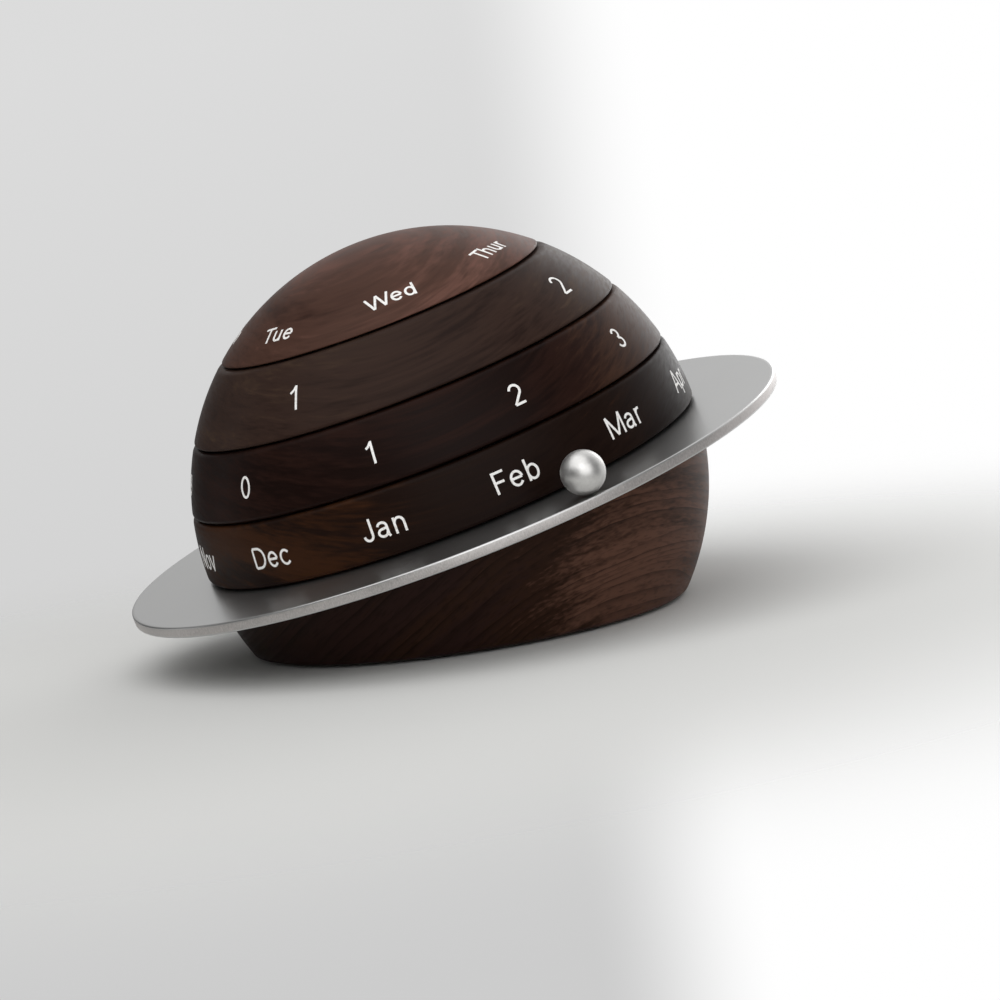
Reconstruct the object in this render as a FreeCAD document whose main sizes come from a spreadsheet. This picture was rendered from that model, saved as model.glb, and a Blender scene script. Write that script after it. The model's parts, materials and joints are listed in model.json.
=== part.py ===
import FreeCAD
import Part
import Sketcher
import math
import os

# A perpetual desk calendar: a walnut ball sliced into turned rings that spin on a leaning
# spindle, with a flat steel disc round its middle and a magnetic steel ball that marks a place
# on the disc. The origin is on the table, under the middle of the ball, and +Z is up. The dial
# axis leans towards -X, and the front of the calendar faces -Y.

doc = FreeCAD.newDocument("desk_calendar")
sheet = doc.addObject("Spreadsheet::Sheet", "sizes")

# Driving dimensions: name, value in millimetres or degrees, and what it is.
DIMENSIONS = [
    # The turned ball
    ("sphere_radius", 48.0, "radius of the walnut ball"),
    ("axis_tilt", 13.0, "lean of the dial axis from upright, degrees"),
    ("underside_drop", 25.74, "from the ball's centre down to its sawn underside"),
    ("seam_gap", 0.4, "running gap between one ring and the next"),
    ("edge_break", 0.5, "chamfer on the rims of the rings and the base"),
    ("foot_break", 1.0, "chamfer round the sawn underside"),
    # The felt pad let into the underside
    ("pad_margin", 5.5, "width of bare wood round the felt pad"),
    ("pad_thickness", 1.5, "thickness of the felt"),
    ("pad_proud", 0.5, "how far the felt stands below the wood"),
    ("pad_clearance", 0.2, "gap round the felt in its recess"),
    # The steel disc
    ("disc_overhang", 15.6, "how far the disc stands out of the ball"),
    ("disc_thickness", 2.0, "sheet thickness of the disc"),
    ("disc_top_drop", 0.5, "from the ball's centre down to the disc's upper face"),
    ("disc_edge_break", 0.2, "chamfer on the disc's outer rims"),
    ("seat_ledge", 18.0, "width of the ledge round the wooden boss that the disc lies on"),
    ("boss_clearance", 0.1, "gap between the boss and the disc's bore"),
    ("disc_screw_inset", 6.0, "from the boss out to the circle of disc screws"),
    # The countersunk wood screws
    ("screw_radius", 1.5, "radius of a screw's shank"),
    ("screw_head_radius", 2.9, "radius of a countersunk head"),
    ("screw_length", 12.0, "length of a screw over all"),
    ("screw_point", 2.0, "length of a screw's point"),
    ("screw_clearance", 0.02, "gap round a screw in its hole"),
    ("socket_flat", 1.0, "from the middle of a head to a flat of its hexagon socket"),
    ("socket_depth", 1.2, "depth of the hexagon socket"),
    # The spindle
    ("spindle_radius", 3.0, "radius of the ground shaft"),
    ("flange_radius", 15.0, "radius of the spindle's flange"),
    ("flange_thickness", 3.0, "thickness of the flange"),
    ("flange_sink", 0.4, "from the boss's top down to the flange's top"),
    ("flange_clearance", 0.1, "gap round the flange in its recess"),
    ("flange_screw_inset", 5.0, "from the flange's edge in to its circle of screws"),
    ("spigot_length", 8.0, "length of the spigot below the flange"),
    ("spigot_clearance", 0.05, "gap round the spigot and below it"),
    ("spindle_end_break", 0.4, "chamfer on the upper end of the shaft"),
    # The shielded ball bearings
    ("bearing_section", 3.0, "from a bearing's bore out to its outer face"),
    ("bearing_width", 4.0, "width of a bearing"),
    ("race_wall", 0.85, "wall of the inner and of the outer race"),
    ("shield_gap", 0.08, "running gap between the shields and the inner race"),
    ("shield_sink", 0.2, "how far a shield lies inside the race's face"),
    ("bearing_sink", 0.6, "from a ring's lower face up to its bearing"),
    ("slip_clearance", 0.02, "gap between the bearings, the shaft and the wood"),
    ("lip_width", 1.1, "how far the lip over a bearing reaches in from its pocket"),
    ("cap_relief", 1.0, "depth of the relief over the spindle's end, inside the cap"),
    # The snap ring that holds the stack down
    ("snap_thickness", 0.7, "thickness of the snap ring"),
    ("snap_width", 1.1, "radial width of the snap ring"),
    ("snap_opening", 2.6, "opening of the snap ring"),
    ("groove_depth", 0.3, "depth of the groove for the snap ring"),
    ("groove_clearance", 0.02, "gap between the snap ring and its groove"),
    # The marker ball
    ("marker_radius", 4.0, "radius of the marker ball"),
    ("marker_gap", 0.1, "running gap between the marker ball and the disc"),
    ("marker_inset", 2.6, "from the disc's edge in to where the ball stands"),
    ("marker_angle", 5.07, "place of the ball, in degrees round from the front"),
    # How many
    ("disc_screw_count", 4, "number of disc screws"),
    ("flange_screw_count", 3, "number of flange screws"),
]
for number, (alias, value, meaning) in enumerate(DIMENSIONS, start=1):
    sheet.set(f"A{number}", meaning)
    sheet.set(f"B{number}", str(value))
    sheet.setAlias(f"B{number}", alias)
doc.recompute()

# The dials, from the disc up. They share the height above the disc evenly.
DIALS = ["month", "units", "tens", "weekday"]

# Heights along the dial axis, from the ball's centre, as expressions of the sheet.
DISC_TOP = "-sizes.disc_top_drop"
DISC_SEAT = "-sizes.disc_top_drop - sizes.disc_thickness"
FLANGE_TOP = "-sizes.disc_top_drop - sizes.flange_sink"
FLANGE_SEAT = f"{FLANGE_TOP} - sizes.flange_thickness"
RING_PITCH = f"((sizes.sphere_radius + sizes.disc_top_drop) / {len(DIALS)})"
CENTRE_HEIGHT = "(sizes.underside_drop + sizes.pad_proud)"
TILT = "(sizes.axis_tilt * 1 deg)"

# Depth of a screw's countersunk cone, whose sides slope at 45 degrees.
SCREW_CONE = "sizes.screw_head_radius - sizes.screw_radius"

# Radii from the dial axis.
BOSS_RADIUS = "(sizes.sphere_radius - sizes.seat_ledge)"
DISC_RADIUS = "(sizes.sphere_radius + sizes.disc_overhang)"
DISC_SCREW_CIRCLE = f"({BOSS_RADIUS} + sizes.disc_screw_inset)"
FLANGE_SCREW_CIRCLE = "(sizes.flange_radius - sizes.flange_screw_inset)"
MARKER_ORBIT = f"({DISC_RADIUS} - sizes.marker_inset)"
PAD_RADIUS = "(sqrt(pow(sizes.sphere_radius; 2) - pow(sizes.underside_drop; 2)) - sizes.pad_margin)"

# Radii in the bearing stack.
BEARING_BORE = "sizes.spindle_radius + sizes.slip_clearance"
INNER_RACE = f"{BEARING_BORE} + sizes.race_wall"
BEARING_RADIUS = "sizes.spindle_radius + sizes.bearing_section"
POCKET = f"{BEARING_RADIUS} + sizes.slip_clearance"
LIP_RADIUS = f"{BEARING_RADIUS} - sizes.lip_width"


def ring_bottom(step):
    """Height of the lower face of dial number step, counted from the disc."""
    return f"{DISC_TOP} + sizes.seam_gap + {step} * {RING_PITCH}"


def bearing_bottom(step):
    """Height of the lower face of the bearing in dial number step."""
    return f"{ring_bottom(step)} + sizes.bearing_sink"


def bearing_top(step):
    """Height of the upper face of the bearing in dial number step."""
    return f"{bearing_bottom(step)} + sizes.bearing_width"


def new_body(label):
    """Start a sub-part whose own Z axis is the dial axis, through the ball's centre."""
    body = doc.addObject("PartDesign::Body", label)
    body.Label = label
    lean = FreeCAD.Rotation(FreeCAD.Vector(0, 1, 0), -sheet.evalExpression("sizes.axis_tilt"))
    body.Placement = FreeCAD.Placement(FreeCAD.Vector(), lean)
    body.setExpression("Placement.Rotation.Angle", "-sizes.axis_tilt")
    body.setExpression("Placement.Base.z", CENTRE_HEIGHT)
    doc.recompute()
    return body


def origin_item(body, role):
    """Find one of a body's own origin planes or axes."""
    return [item for item in body.Origin.OriginFeatures if item.Role == role][0]


def new_sketch(body, name, plane="XZ_Plane"):
    """Attach an empty sketch to one of the body's origin planes."""
    sketch = body.newObject("Sketcher::SketchObject", name)
    sketch.AttachmentSupport = [(origin_item(body, plane), "")]
    sketch.MapMode = "FlatFace"
    return sketch


def pin_point(sketch, part, point, x=None, y=None):
    """Hold one point of a sketch at its distances from the origin, bound to the sheet."""
    for kind, size in (("DistanceX", x), ("DistanceY", y)):
        if size == "0":
            axis = -2 if kind == "DistanceX" else -1
            sketch.addConstraint(Sketcher.Constraint("PointOnObject", part, point, axis))
        elif size is not None:
            now = sheet.evalExpression(size)
            rule = sketch.addConstraint(Sketcher.Constraint(kind, -1, 1, part, point, now))
            sketch.setExpression(f"Constraints[{rule}]", size)


def draw_circle(sketch, size):
    """Draw a circle round the origin, its radius bound to the sheet."""
    radius = sheet.evalExpression(size)
    sketch.addGeometry(Part.Circle(FreeCAD.Vector(), FreeCAD.Vector(0, 0, 1), radius), False)
    sketch.addConstraint(Sketcher.Constraint("Coincident", 0, 3, -1, 1))
    rule = sketch.addConstraint(Sketcher.Constraint("Radius", 0, radius))
    sketch.setExpression(f"Constraints[{rule}]", size)


def draw_outline(sketch, corners, ball_side=None):
    """Draw a closed outline, anticlockwise, through corners given as pairs of expressions. The
    side that leaves corner number ball_side is an arc of the ball, centred on the origin."""
    count = len(corners)
    ball_radius = sheet.evalExpression("sizes.sphere_radius")
    points = []
    for x, y in corners:
        points.append(FreeCAD.Vector(sheet.evalExpression(x), sheet.evalExpression(y), 0))
    for side in range(count):
        start = points[side]
        end = points[(side + 1) % count]
        if side == ball_side:
            ball = Part.Circle(FreeCAD.Vector(), FreeCAD.Vector(0, 0, 1), ball_radius)
            arc = Part.ArcOfCircle(ball, math.atan2(start.y, start.x), math.atan2(end.y, end.x))
            sketch.addGeometry(arc, False)
        else:
            sketch.addGeometry(Part.LineSegment(start, end), False)
    for side in range(count):
        sketch.addConstraint(Sketcher.Constraint("Coincident", side, 2, (side + 1) % count, 1))
    if ball_side is not None:
        sketch.addConstraint(Sketcher.Constraint("Coincident", ball_side, 3, -1, 1))
        rule = sketch.addConstraint(Sketcher.Constraint("Radius", ball_side, ball_radius))
        sketch.setExpression(f"Constraints[{rule}]", "sizes.sphere_radius")
    for corner, (x, y) in enumerate(corners):
        on_ball = ball_side is not None and corner in (ball_side, (ball_side + 1) % count)
        if on_ball and x == "0":
            pin_point(sketch, corner, 1, x=x)
        elif on_ball:
            pin_point(sketch, corner, 1, y=y)
        else:
            pin_point(sketch, corner, 1, x=x, y=y)


def on_ball(height):
    """Radius of the ball at a height along the dial axis."""
    return f"sqrt(pow(sizes.sphere_radius; 2) - pow({height}; 2))"


def turn(body, name, corners, ball_side=None):
    """Turn a solid from its half outline, round the dial axis."""
    sketch = new_sketch(body, f"{name}_outline")
    draw_outline(sketch, corners, ball_side)
    turned = body.newObject("PartDesign::Revolution", name)
    turned.Profile = sketch
    turned.ReferenceAxis = (sketch, ["V_Axis"])
    turned.Angle = 360.0
    doc.recompute()
    return turned


def draw_off_axis(body, name, corners):
    """Draw half of something turned that stands off the dial axis. Its own axis is a construction
    line along the side that closes the outline."""
    sketch = new_sketch(body, name)
    draw_outline(sketch, corners)
    ends = []
    for x, y in (corners[0], corners[-1]):
        ends.append(FreeCAD.Vector(sheet.evalExpression(x), sheet.evalExpression(y), 0))
    line = sketch.addGeometry(Part.LineSegment(*ends), True)
    sketch.addConstraint(Sketcher.Constraint("Coincident", line, 1, 0, 1))
    sketch.addConstraint(Sketcher.Constraint("Coincident", line, 2, len(corners) - 1, 1))
    return sketch


def screw_corners(circle, top):
    """Half outline of a countersunk wood screw whose head is level with top."""
    shank = f"{circle} + sizes.screw_radius"
    tip = f"{top} - sizes.screw_length"
    return [
        (circle, tip),
        (shank, f"{tip} + sizes.screw_point"),
        (shank, f"{top} - ({SCREW_CONE})"),
        (f"{circle} + sizes.screw_head_radius", top),
        (circle, top),
    ]


def hole_corners(circle, top):
    """Half outline of the drilled and countersunk hole for such a screw."""
    shank = f"{circle} + sizes.screw_radius + sizes.screw_clearance"
    floor = f"{top} - sizes.screw_length - sizes.screw_clearance"
    return [
        (circle, floor),
        (shank, floor),
        (shank, f"{top} - ({SCREW_CONE})"),
        (f"{circle} + sizes.screw_head_radius + sizes.screw_clearance", top),
        (circle, top),
    ]


def repeat_round(body, name, originals, number):
    """Repeat features evenly round the dial axis, as many times as the sheet says."""
    pattern = body.newObject("PartDesign::PolarPattern", name)
    pattern.Originals = originals
    pattern.Axis = (origin_item(body, "Z_Axis"), [""])
    pattern.Angle = 360.0
    pattern.setExpression("Occurrences", number)
    body.Tip = pattern
    doc.recompute()
    return pattern


def sink_screw_holes(body, name, circle, top, number):
    """Cut countersunk holes for a circle of screws, and see that they cut."""
    solid = body.Shape.Volume
    sketch = draw_off_axis(body, f"{name}_outline", hole_corners(circle, top))
    hole = body.newObject("PartDesign::Groove", name)
    hole.Profile = sketch
    hole.ReferenceAxis = (sketch, ["Axis0"])
    hole.Angle = 360.0
    doc.recompute()
    repeat_round(body, f"{name}_round", [hole], number)
    must_cut(body, solid)


def must_cut(body, volume_before):
    """Stop where a cut has taken nothing away."""
    if body.Shape.Volume >= volume_before:
        raise RuntimeError(f"a cut in {body.Label} took nothing away")


def make_base():
    """The lower part of the ball, turned from solid walnut and sawn flat below. Its boss centres
    the disc, and a stepped bore takes the spindle's flange and spigot."""
    body = new_body("base_body")
    spigot_radius = "sizes.spindle_radius + sizes.spigot_clearance"
    recess_radius = "sizes.flange_radius + sizes.flange_clearance"
    spigot_floor = f"{FLANGE_SEAT} - sizes.spigot_length - sizes.spigot_clearance"
    rim = f"{DISC_SEAT} - sizes.edge_break"
    corners = [
        ("0", "-sizes.sphere_radius"),
        (on_ball(rim), rim),
        (f"{on_ball(DISC_SEAT)} - sizes.edge_break", DISC_SEAT),
        (BOSS_RADIUS, DISC_SEAT),
        (BOSS_RADIUS, DISC_TOP),
        (recess_radius, DISC_TOP),
        (recess_radius, FLANGE_SEAT),
        (spigot_radius, FLANGE_SEAT),
        (spigot_radius, spigot_floor),
        ("0", spigot_floor),
    ]
    turn(body, "base_turned", corners, ball_side=0)
    solid = body.Shape.Volume
    sawn = body.newObject("PartDesign::Pocket", "base_sawn")
    sawn.Profile = level_sketch(body, "base_saw_line", "sizes.sphere_radius")
    sawn.Type = "ThroughAll"
    doc.recompute()
    must_cut(body, solid)
    chamfer = body.newObject("PartDesign::Chamfer", "base_foot_rim")
    chamfer.Base = (sawn, [lowest_edge(sawn.Shape)])
    chamfer.setExpression("Size", "sizes.foot_break")
    doc.recompute()
    solid = body.Shape.Volume
    recess = body.newObject("PartDesign::Pocket", "pad_recess")
    recess.Profile = level_sketch(body, "pad_recess_line", f"{PAD_RADIUS} + sizes.pad_clearance")
    recess.Reversed = True
    recess.setExpression("Length", "sizes.pad_thickness - sizes.pad_proud")
    doc.recompute()
    must_cut(body, solid)
    sink_screw_holes(body, "base_disc_hole", DISC_SCREW_CIRCLE, DISC_TOP, "sizes.disc_screw_count")
    sink_screw_holes(
        body, "base_flange_hole", FLANGE_SCREW_CIRCLE, FLANGE_TOP, "sizes.flange_screw_count"
    )
    return body


def lowest_edge(shape):
    """Name the edge whose middle lies lowest along the dial axis."""
    middles = [edge.BoundBox.Center.z for edge in shape.Edges]
    return f"Edge{middles.index(min(middles)) + 1}"


def level_sketch(body, name, radius):
    """Draw a circle on the level plane of the sawn underside, under the ball's centre."""
    sketch = new_sketch(body, name, "XY_Plane")
    lean = FreeCAD.Rotation(FreeCAD.Vector(0, 1, 0), sheet.evalExpression("sizes.axis_tilt"))
    sketch.AttachmentOffset = FreeCAD.Placement(FreeCAD.Vector(), lean)
    sketch.setExpression("AttachmentOffset.Rotation.Angle", "sizes.axis_tilt")
    sketch.setExpression("AttachmentOffset.Base.x", f"-sizes.underside_drop * sin({TILT})")
    sketch.setExpression("AttachmentOffset.Base.z", f"-sizes.underside_drop * cos({TILT})")
    draw_circle(sketch, radius)
    return sketch


def make_pad():
    """The felt pad, a plain disc that lies level under the base."""
    body = doc.addObject("PartDesign::Body", "base_pad")
    body.Label = "base_pad"
    sketch = new_sketch(body, "pad_circle", "XY_Plane")
    draw_circle(sketch, PAD_RADIUS)
    pad = body.newObject("PartDesign::Pad", "pad_felt")
    pad.Profile = sketch
    pad.setExpression("Length", "sizes.pad_thickness")
    doc.recompute()
    return body


def make_disc():
    """The flat steel disc round the ball's middle, with countersunk holes for its screws."""
    body = new_body("orbit_disc")
    bore = f"{BOSS_RADIUS} + sizes.boss_clearance"
    edge = f"{DISC_RADIUS} - sizes.disc_edge_break"
    corners = [
        (bore, DISC_SEAT),
        (edge, DISC_SEAT),
        (DISC_RADIUS, f"{DISC_SEAT} + sizes.disc_edge_break"),
        (DISC_RADIUS, f"{DISC_TOP} - sizes.disc_edge_break"),
        (edge, DISC_TOP),
        (bore, DISC_TOP),
    ]
    turn(body, "disc_blank", corners)
    sink_screw_holes(body, "disc_hole", DISC_SCREW_CIRCLE, DISC_TOP, "sizes.disc_screw_count")
    return body


def make_screws(label, circle, top, number):
    """A circle of countersunk wood screws with hexagon sockets, each a solid of its own."""
    body = new_body(label)
    outline = draw_off_axis(body, f"{label}_outline", screw_corners(circle, top))
    screw = body.newObject("PartDesign::Revolution", f"{label}_blank")
    screw.Profile = outline
    screw.ReferenceAxis = (outline, ["Axis0"])
    screw.Angle = 360.0
    doc.recompute()
    solid = body.Shape.Volume
    hexagon = new_sketch(body, f"{label}_hexagon", "XY_Plane")
    hexagon.setExpression("AttachmentOffset.Base.z", top)
    corners = []
    for corner in range(6):
        angle = f"({corner} + 0.5) * 60 deg"
        reach = "sizes.socket_flat / cos(30 deg)"
        corners.append((f"{circle} + {reach} * cos({angle})", f"{reach} * sin({angle})"))
    draw_outline(hexagon, corners)
    socket = body.newObject("PartDesign::Pocket", f"{label}_socket")
    socket.Profile = hexagon
    socket.setExpression("Length", "sizes.socket_depth")
    doc.recompute()
    must_cut(body, solid)
    repeat_round(body, f"{label}_round", [screw, socket], number)
    return body


def make_spindle():
    """The turned steel spindle: spigot, flange, shoulder, shaft and snap ring groove."""
    body = new_body("spindle")
    groove_radius = "sizes.spindle_radius - sizes.groove_depth"
    groove_top = f"{bearing_top(2)} + sizes.snap_thickness + sizes.groove_clearance"
    end_radius = "sizes.spindle_radius - sizes.spindle_end_break"
    corners = [
        ("0", f"{FLANGE_SEAT} - sizes.spigot_length"),
        ("sizes.spindle_radius", f"{FLANGE_SEAT} - sizes.spigot_length"),
        ("sizes.spindle_radius", FLANGE_SEAT),
        ("sizes.flange_radius", FLANGE_SEAT),
        ("sizes.flange_radius", FLANGE_TOP),
        (INNER_RACE, FLANGE_TOP),
        (INNER_RACE, bearing_bottom(0)),
        ("sizes.spindle_radius", bearing_bottom(0)),
        ("sizes.spindle_radius", bearing_top(2)),
        (groove_radius, bearing_top(2)),
        (groove_radius, groove_top),
        ("sizes.spindle_radius", groove_top),
        ("sizes.spindle_radius", f"{bearing_top(3)} - sizes.spindle_end_break"),
        (end_radius, bearing_top(3)),
        ("0", bearing_top(3)),
    ]
    turn(body, "spindle_turned", corners)
    sink_screw_holes(
        body, "flange_hole", FLANGE_SCREW_CIRCLE, FLANGE_TOP, "sizes.flange_screw_count"
    )
    return body


def make_bearing(step):
    """A shielded ball bearing: an inner race, and an outer race closed by its two shields."""
    low = bearing_bottom(step)
    high = bearing_top(step)
    inner = new_body(f"{DIALS[step]}_inner_race")
    corners = [(BEARING_BORE, low), (INNER_RACE, low), (INNER_RACE, high), (BEARING_BORE, high)]
    turn(inner, f"{DIALS[step]}_inner_turned", corners)
    outer = new_body(f"{DIALS[step]}_outer_race")
    shield = f"{INNER_RACE} + sizes.shield_gap"
    wall = f"{BEARING_RADIUS} - sizes.race_wall"
    corners = [
        (shield, f"{low} + sizes.shield_sink"),
        (wall, f"{low} + sizes.shield_sink"),
        (wall, low),
        (BEARING_RADIUS, low),
        (BEARING_RADIUS, high),
        (wall, high),
        (wall, f"{high} - sizes.shield_sink"),
        (shield, f"{high} - sizes.shield_sink"),
    ]
    turn(outer, f"{DIALS[step]}_outer_turned", corners)
    return [inner, outer]


def make_spacer(step):
    """The tube that parts a bearing's inner race from the one below. The uppermost spacer stands
    on the snap ring."""
    low = bearing_top(step - 1)
    if step == 3:
        low = f"{low} + sizes.snap_thickness"
    body = new_body(f"{DIALS[step]}_spacer")
    corners = [
        (BEARING_BORE, low),
        (INNER_RACE, low),
        (INNER_RACE, bearing_bottom(step)),
        (BEARING_BORE, bearing_bottom(step)),
    ]
    turn(body, f"{DIALS[step]}_spacer_turned", corners)
    return body


def make_snap_ring():
    """The flat open ring of spring steel that snaps into the spindle's groove."""
    body = new_body("snap_ring")
    sketch = new_sketch(body, "snap_ring_outline", "XY_Plane")
    sketch.setExpression("AttachmentOffset.Base.z", bearing_top(2))
    inner = "sizes.spindle_radius - sizes.groove_depth + sizes.groove_clearance"
    outer = f"{inner} + sizes.snap_width"
    half = sheet.evalExpression("sizes.snap_opening") / 2
    up = FreeCAD.Vector(0, 0, 1)
    ends = []
    for side, expression in enumerate((inner, outer)):
        radius = sheet.evalExpression(expression)
        reach = math.sqrt(radius ** 2 - half ** 2)
        angle = math.atan2(half, reach)
        arc = Part.ArcOfCircle(Part.Circle(FreeCAD.Vector(), up, radius), angle, 2 * math.pi - angle)
        sketch.addGeometry(arc, False)
        sketch.addConstraint(Sketcher.Constraint("Coincident", side, 3, -1, 1))
        rule = sketch.addConstraint(Sketcher.Constraint("Radius", side, radius))
        sketch.setExpression(f"Constraints[{rule}]", expression)
        ends.append(reach)
    for line, (height, point) in enumerate(((half, 1), (-half, 2)), start=2):
        start = FreeCAD.Vector(ends[0], height, 0)
        end = FreeCAD.Vector(ends[1], height, 0)
        sketch.addGeometry(Part.LineSegment(start, end), False)
        sketch.addConstraint(Sketcher.Constraint("Coincident", line, 1, 0, point))
        sketch.addConstraint(Sketcher.Constraint("Coincident", line, 2, 1, point))
        sketch.addConstraint(Sketcher.Constraint("Horizontal", line))
    pin_point(sketch, 2, 1, y="sizes.snap_opening / 2")
    pin_point(sketch, 3, 1, y="-sizes.snap_opening / 2")
    ring = body.newObject("PartDesign::Pad", "snap_ring_stamped")
    ring.Profile = sketch
    ring.setExpression("Length", "sizes.snap_thickness")
    doc.recompute()
    return body


def make_dial_ring(step):
    """One turned ring of the ball, with a pocket from below for its bearing and a lip over it."""
    body = new_body(f"{DIALS[step]}_ring")
    bottom = ring_bottom(step)
    top = f"{ring_bottom(step + 1)} - sizes.seam_gap"
    lower_rim = f"{bottom} + sizes.edge_break"
    upper_rim = f"{top} - sizes.edge_break"
    corners = [
        (POCKET, bottom),
        (f"{on_ball(bottom)} - sizes.edge_break", bottom),
        (on_ball(lower_rim), lower_rim),
        (on_ball(upper_rim), upper_rim),
        (f"{on_ball(top)} - sizes.edge_break", top),
        (LIP_RADIUS, top),
        (LIP_RADIUS, bearing_top(step)),
        (POCKET, bearing_top(step)),
    ]
    turn(body, f"{DIALS[step]}_ring_turned", corners, ball_side=2)
    return body


def make_cap():
    """The weekday cap that closes the ball, with a blind pocket for its bearing."""
    body = new_body("weekday_cap")
    bottom = ring_bottom(3)
    shelf = bearing_top(3)
    relief = f"{shelf} + sizes.cap_relief"
    rim = f"{bottom} + sizes.edge_break"
    corners = [
        (POCKET, bottom),
        (f"{on_ball(bottom)} - sizes.edge_break", bottom),
        (on_ball(rim), rim),
        ("0", "sizes.sphere_radius"),
        ("0", relief),
        (LIP_RADIUS, relief),
        (LIP_RADIUS, shelf),
        (POCKET, shelf),
    ]
    turn(body, "weekday_cap_turned", corners, ball_side=2)
    return body


def make_marker():
    """The magnetic steel ball that rolls round on the disc, near its rim."""
    ball = doc.addObject("Part::Sphere", "marker_ball")
    ball.Label = "marker_ball"
    ball.setExpression("Radius", "sizes.marker_radius")
    angle = "(sizes.marker_angle * 1 deg)"
    height = f"({DISC_TOP} + sizes.marker_gap + sizes.marker_radius)"
    across = f"({MARKER_ORBIT} * sin({angle}))"
    ball.setExpression("Placement.Base.x", f"{across} * cos({TILT}) - {height} * sin({TILT})")
    ball.setExpression("Placement.Base.y", f"-{MARKER_ORBIT} * cos({angle})")
    rise = f"{across} * sin({TILT}) + {height} * cos({TILT})"
    ball.setExpression("Placement.Base.z", f"{CENTRE_HEIGHT} + {rise}")
    doc.recompute()
    return ball


pieces = [make_base(), make_pad(), make_disc()]
pieces.append(make_screws("disc_screws", DISC_SCREW_CIRCLE, DISC_TOP, "sizes.disc_screw_count"))
pieces.append(make_spindle())
pieces.append(make_screws("flange_screws", FLANGE_SCREW_CIRCLE, FLANGE_TOP, "sizes.flange_screw_count"))
for step in range(len(DIALS)):
    pieces.extend(make_bearing(step))
for step in (1, 2, 3):
    pieces.append(make_spacer(step))
pieces.append(make_snap_ring())
for step in (0, 1, 2):
    pieces.append(make_dial_ring(step))
pieces.append(make_cap())
pieces.append(make_marker())
doc.recompute()

for item in doc.Objects:
    if "Invalid" in item.State or "Error" in item.State:
        raise RuntimeError(f"{item.Label} is {item.State}")
for piece in pieces:
    if piece.Shape.isNull() or not piece.Shape.isValid():
        raise RuntimeError(f"{piece.Label} has no valid shape")

os.makedirs("parts", exist_ok=True)
for piece in pieces:
    piece.Shape.exportStep(f"parts/{piece.Label}.step")
    print(f"{piece.Label}: {len(piece.Shape.Solids)} solids, {piece.Shape.Volume:.1f} cubic mm")
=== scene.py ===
import bpy
import bmesh
import json
import math
from mathutils import Matrix, Vector


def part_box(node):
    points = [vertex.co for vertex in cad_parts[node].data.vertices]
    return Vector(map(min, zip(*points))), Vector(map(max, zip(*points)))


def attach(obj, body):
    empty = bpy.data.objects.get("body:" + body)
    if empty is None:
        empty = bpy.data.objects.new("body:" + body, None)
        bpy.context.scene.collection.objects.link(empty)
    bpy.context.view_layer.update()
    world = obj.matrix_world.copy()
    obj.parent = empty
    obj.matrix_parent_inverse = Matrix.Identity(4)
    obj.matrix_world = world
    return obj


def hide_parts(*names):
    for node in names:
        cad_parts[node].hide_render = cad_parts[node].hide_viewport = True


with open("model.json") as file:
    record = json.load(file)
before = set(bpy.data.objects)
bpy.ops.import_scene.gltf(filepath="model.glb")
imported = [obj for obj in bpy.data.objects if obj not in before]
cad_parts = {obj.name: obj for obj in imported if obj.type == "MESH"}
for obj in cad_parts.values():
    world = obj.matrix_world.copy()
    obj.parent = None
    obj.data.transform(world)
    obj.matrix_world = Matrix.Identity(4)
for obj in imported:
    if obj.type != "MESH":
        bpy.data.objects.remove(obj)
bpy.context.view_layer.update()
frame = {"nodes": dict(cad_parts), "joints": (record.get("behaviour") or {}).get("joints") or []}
bpy.ops.object.select_all(action="DESELECT")

# The camera stands a little to the left of the calendar's front and slightly above it. It is
# rolled as the picture is, so that the dials climb to the right.
camera_place = (-0.243576, -0.751814, 0.112842)
camera_turn = (83.3625, 8.6273, -19.5830)
bpy.ops.object.camera_add(location=camera_place, rotation=[math.radians(turn) for turn in camera_turn])
camera = bpy.context.object
camera.data.sensor_width = 36
camera.data.lens = 154.22
bpy.context.scene.camera = camera
bpy.context.scene.view_settings.view_transform = "Standard"


def from_hex(code):
    """Turn an sRGB hex colour into linear red, green, blue and alpha."""
    linear = []
    for place in (1, 3, 5):
        channel = int(code[place:place + 2], 16) / 255
        if channel <= 0.04045:
            linear.append(channel / 12.92)
        else:
            linear.append(((channel + 0.055) / 1.055) ** 2.4)
    return linear + [1.0]


def add_node(tree, kind, inputs, **settings):
    """Add a node with its settings. Each input is a value or another node's output."""
    node = tree.nodes.new(kind)
    for name, value in settings.items():
        setattr(node, name, value)
    for socket, value in inputs.items():
        if isinstance(value, bpy.types.NodeSocket):
            tree.links.new(value, node.inputs[socket])
        else:
            node.inputs[socket].default_value = value
    return node


def new_material(name):
    """Start an empty node material and its output."""
    material = bpy.data.materials.new(name)
    material.use_nodes = True
    material.node_tree.nodes.clear()
    return material, material.node_tree


# A pale studio floor. It keeps the calendar's shadow, and it fades out into the background, so
# that no edge of it shows from any side. From below it is clear, so that the foot can be seen.
floor_reach = 0.6
floor_solid = 0.06
floor_faded = 0.25
floor_shift = (0.035, 0.03, 0)
bpy.ops.mesh.primitive_circle_add(vertices=96, radius=floor_reach, fill_type="NGON")
floor = bpy.context.object
floor.name = "studio_floor"
paint, tree = new_material("matt_floor_paint")
place = add_node(tree, "ShaderNodeTexCoord", {})
from_middle = add_node(
    tree, "ShaderNodeVectorMath", {0: place.outputs["Object"], 1: floor_shift}, operation="ADD"
)
away = add_node(tree, "ShaderNodeVectorMath", {0: from_middle.outputs["Vector"]}, operation="LENGTH")
fade = add_node(
    tree,
    "ShaderNodeMapRange",
    {"Value": away.outputs["Value"], "From Min": floor_solid, "From Max": floor_faded},
    interpolation_type="SMOOTHERSTEP",
)
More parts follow.
